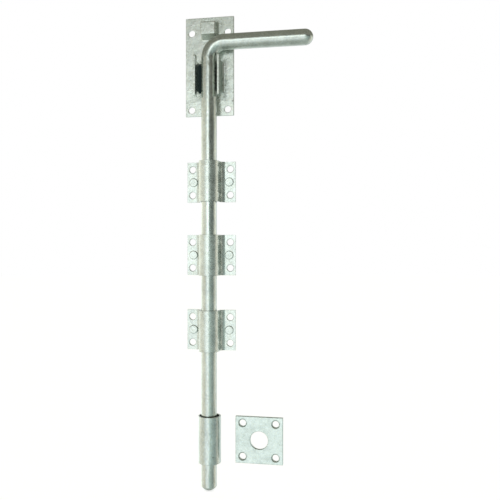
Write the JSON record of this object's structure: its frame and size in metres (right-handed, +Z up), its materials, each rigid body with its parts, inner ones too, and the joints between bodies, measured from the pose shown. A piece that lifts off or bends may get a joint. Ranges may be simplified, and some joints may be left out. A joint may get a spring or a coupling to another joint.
{
  "type": "cane bolt",
  "caption": "Galvanised drop bolt for a gate: a bent bar turns in strap guides and a latch plate and drops into a ground sleeve or strike plate.",
  "frame": {"origin": "middle of the latch plate's four screws, on the face of the gate", "axes": "+Z up along the bar, the gate's face is the plane Y = 0 with every front towards -Y, +X to the right as the bolt is looked at, where the handle points at rest"},
  "size_m": [0.133, 0.023, 0.4827],
  "materials": {
    "bar_zinc": "bright galvanised round bar",
    "plate_zinc": "hot-dip galvanised sheet, mottled",
    "guide_zinc": "hot-dip galvanised sheet, mottled",
    "sleeve_zinc": "galvanised tube, satin",
    "strike_zinc": "hot-dip galvanised sheet, pale and mottled"
  },
  "bodies": {
    "gate_side": {"latch_plate": "plate_zinc", "upper_guide": "guide_zinc", "middle_guide": "guide_zinc", "lower_guide": "guide_zinc", "ground_sleeve": "sleeve_zinc", "strike_plate": "strike_zinc"},
    "bar": {"bent_bar": "bar_zinc"}
  },
  "joints": [
    {"name": "bar_turn", "type": "hinge", "parent": "gate_side", "child": "bar", "pos_m": [0.0018, -0.0115, 0], "axis": [0, 0, 1], "range_deg": [-180, 0]}
  ]
}
